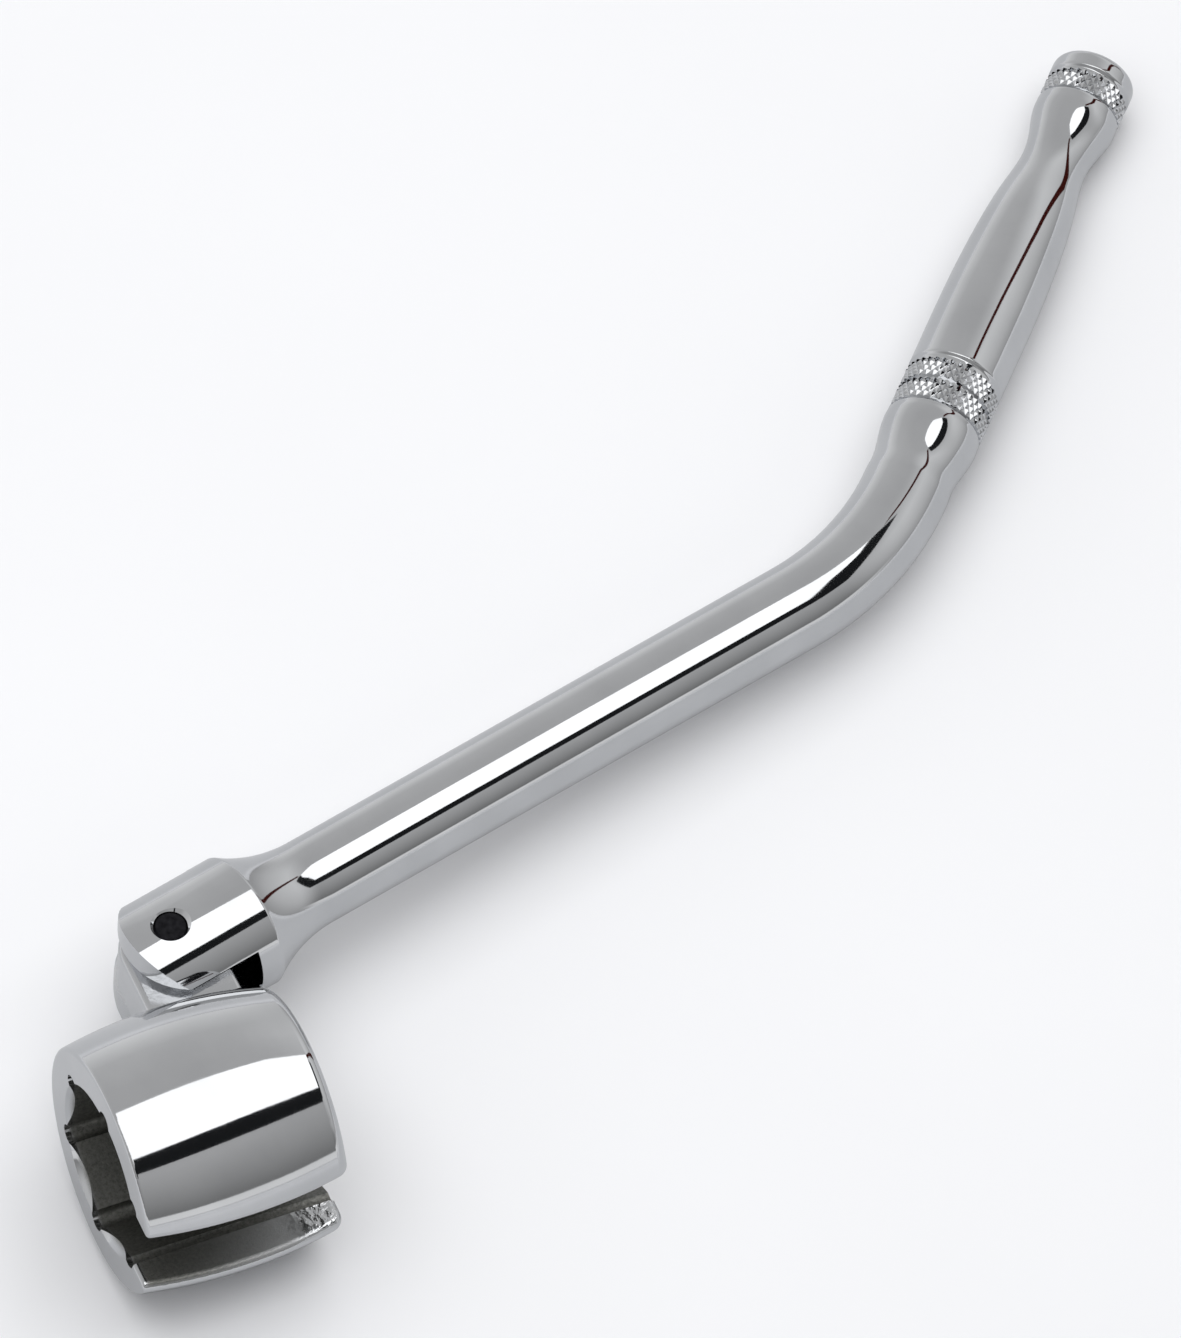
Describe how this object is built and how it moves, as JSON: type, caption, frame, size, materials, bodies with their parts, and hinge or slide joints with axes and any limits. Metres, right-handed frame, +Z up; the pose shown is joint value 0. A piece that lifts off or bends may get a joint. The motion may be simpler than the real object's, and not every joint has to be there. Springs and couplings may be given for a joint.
{
  "type": "flex-head slotted socket wrench",
  "caption": "Cranked hand wrench whose slotted hex socket swivels on a clevis pin, with a waisted grip and knurled bands.",
  "frame": {"origin": "middle of the bottom of the wrench's box, on the bench it lies on", "axes": "+Z up; +X along the wrench from the socket to the pommel; the handle's crank lies flat, bending towards +Y, and the head is folded towards -Y"},
  "size_m": [0.2254, 0.097, 0.0369],
  "materials": {
    "chrome_plate": "bright chrome plate over polished steel, with diamond-knurled bands; satin inside the hex and the slot",
    "black_steel": "black oxide, matt",
    "bearing_steel": "ground bearing ball",
    "spring_steel": "drawn spring wire"
  },
  "bodies": {
    "handle": {"handle": "chrome_plate", "pivot_pin": "black_steel", "friction_ball": "bearing_steel", "friction_spring": "spring_steel"},
    "head": {"socket_head": "chrome_plate"}
  },
  "joints": [
    {"name": "head_flex", "type": "hinge", "parent": "handle", "child": "head", "pos_m": [-0.08246, -0.00506, 0.01745], "axis": [0.0577, 0.0096, 0.9983], "range_deg": [-160, 12.8]}
  ]
}
